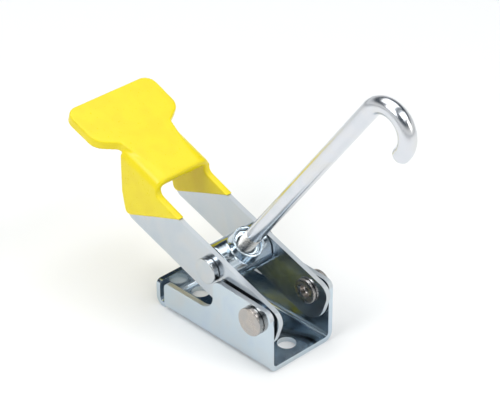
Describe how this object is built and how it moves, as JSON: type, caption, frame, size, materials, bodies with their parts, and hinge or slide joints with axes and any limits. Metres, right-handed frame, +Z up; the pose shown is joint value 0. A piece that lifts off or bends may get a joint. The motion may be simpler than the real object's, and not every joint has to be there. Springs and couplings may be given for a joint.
{
  "type": "pull-action latch clamp",
  "caption": "Pull-action latch clamp with a J-hook: a folded steel base, a lever handle with a dipped T-grip, and a threaded hook that draws a catch plate tight.",
  "frame": {"origin": "on the mounting face (underside of the base), on the centre plane, midway between the two screw holes", "axes": "+X towards the hook side, +Z up out of the mounting face, +Y to the left when looking along +X"},
  "size_m": [0.1942, 0.0528, 0.1524],
  "materials": {
    "zinc_steel": "bright zinc plating with a faint blue cast on pressed steel",
    "rivet_steel": "satin plated rivet steel, slightly warmer than the sheet",
    "yellow_vinyl": "smooth dipped vinyl, soft gloss",
    "nylon": "natural nylon"
  },
  "bodies": {
    "base": {"base_channel": "zinc_steel", "pivot_rivet_left": "rivet_steel", "pivot_rivet_right": "rivet_steel", "pivot_washer_left": "zinc_steel", "pivot_washer_right": "zinc_steel"},
    "handle": {"handle_frame": "zinc_steel", "grip_coating": "yellow_vinyl"},
    "trunnion": {"trunnion": "zinc_steel", "trunnion_pin_left": "zinc_steel", "trunnion_pin_right": "zinc_steel"},
    "lock_nut": {"lock_nut": "zinc_steel", "nut_insert": "nylon"},
    "hook": {"j_hook": "zinc_steel"}
  },
  "joints": [
    {"name": "handle_pivot", "type": "hinge", "parent": "base", "child": "handle", "pos_m": [0.0278, 0, 0.0245], "axis": [0, 1, 0], "range_deg": [-15.4, 50]},
    {"name": "hook_swing", "type": "hinge", "parent": "handle", "child": "trunnion", "pos_m": [-0.00421, 0, 0.03503], "axis": [0, -1, 0], "range_deg": [-65, 74]},
    {"name": "nut_turn", "type": "hinge", "parent": "trunnion", "child": "lock_nut", "pos_m": [-0.00421, 0, 0.03503], "axis": [0.5948, 0, 0.8039], "range_deg": [-361, 721]},
    {"name": "hook_adjust", "type": "slide", "parent": "trunnion", "child": "hook", "axis": [-0.5948, 0, -0.8039], "range_m": [-0.00125, 0.0025]}
  ],
  "couplings": [
    {"joint": "nut_turn", "follows": "hook_adjust", "rad_per_m": 5026.5}
  ]
}
